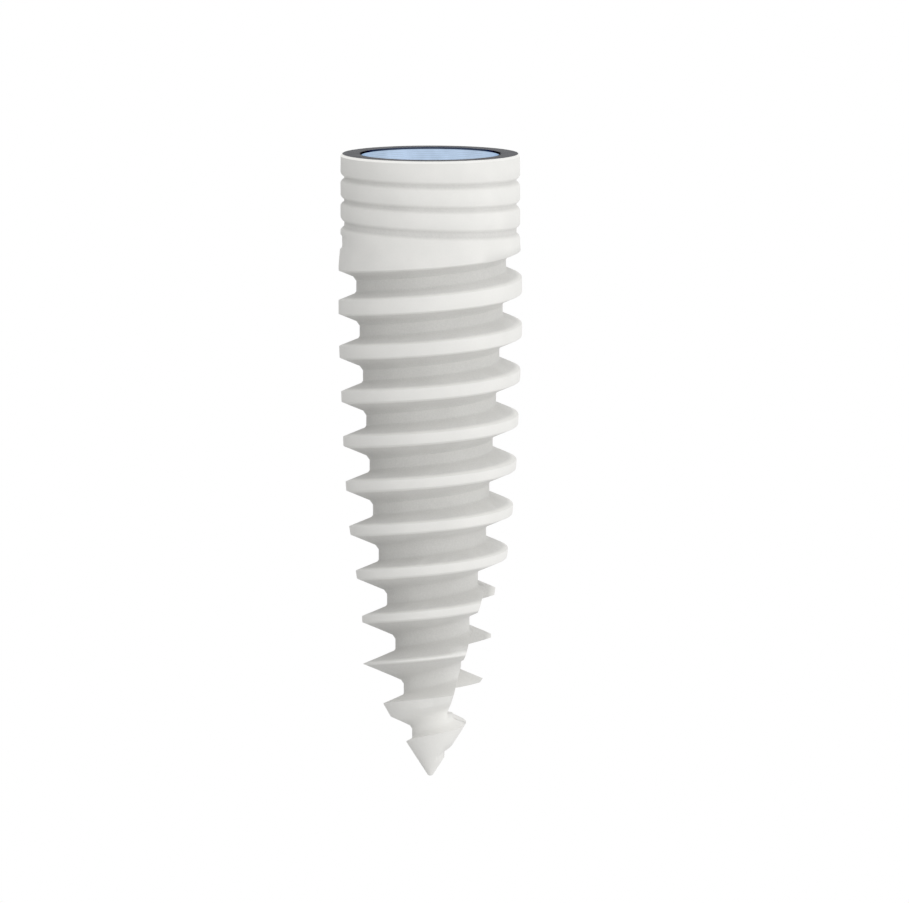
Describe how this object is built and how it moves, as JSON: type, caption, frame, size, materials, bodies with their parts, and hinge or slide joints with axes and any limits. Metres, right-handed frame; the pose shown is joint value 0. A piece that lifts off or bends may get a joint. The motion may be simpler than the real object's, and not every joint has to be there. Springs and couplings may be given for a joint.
{
  "type": "dental implant",
  "caption": "Tapered self-tapping screw implant with a grooved neck, conical hexagon connection, deep single-start thread and a fluted point.",
  "frame": {"origin": "in the middle of the platform, on the surface that the implant stands on", "axes": "+Z along the implant's axis from the platform to the pointed apex, -Y towards the side that the picture shows, and the flute is on the -X side"},
  "size_m": [0.0042, 0.0042, 0.0146],
  "materials": {
    "blasted_titanium": "blasted and etched matte, with a glossy blue anodised platform and connection"
  },
  "bodies": {
    "root": {"implant_body": "blasted_titanium"}
  },
  "joints": []
}
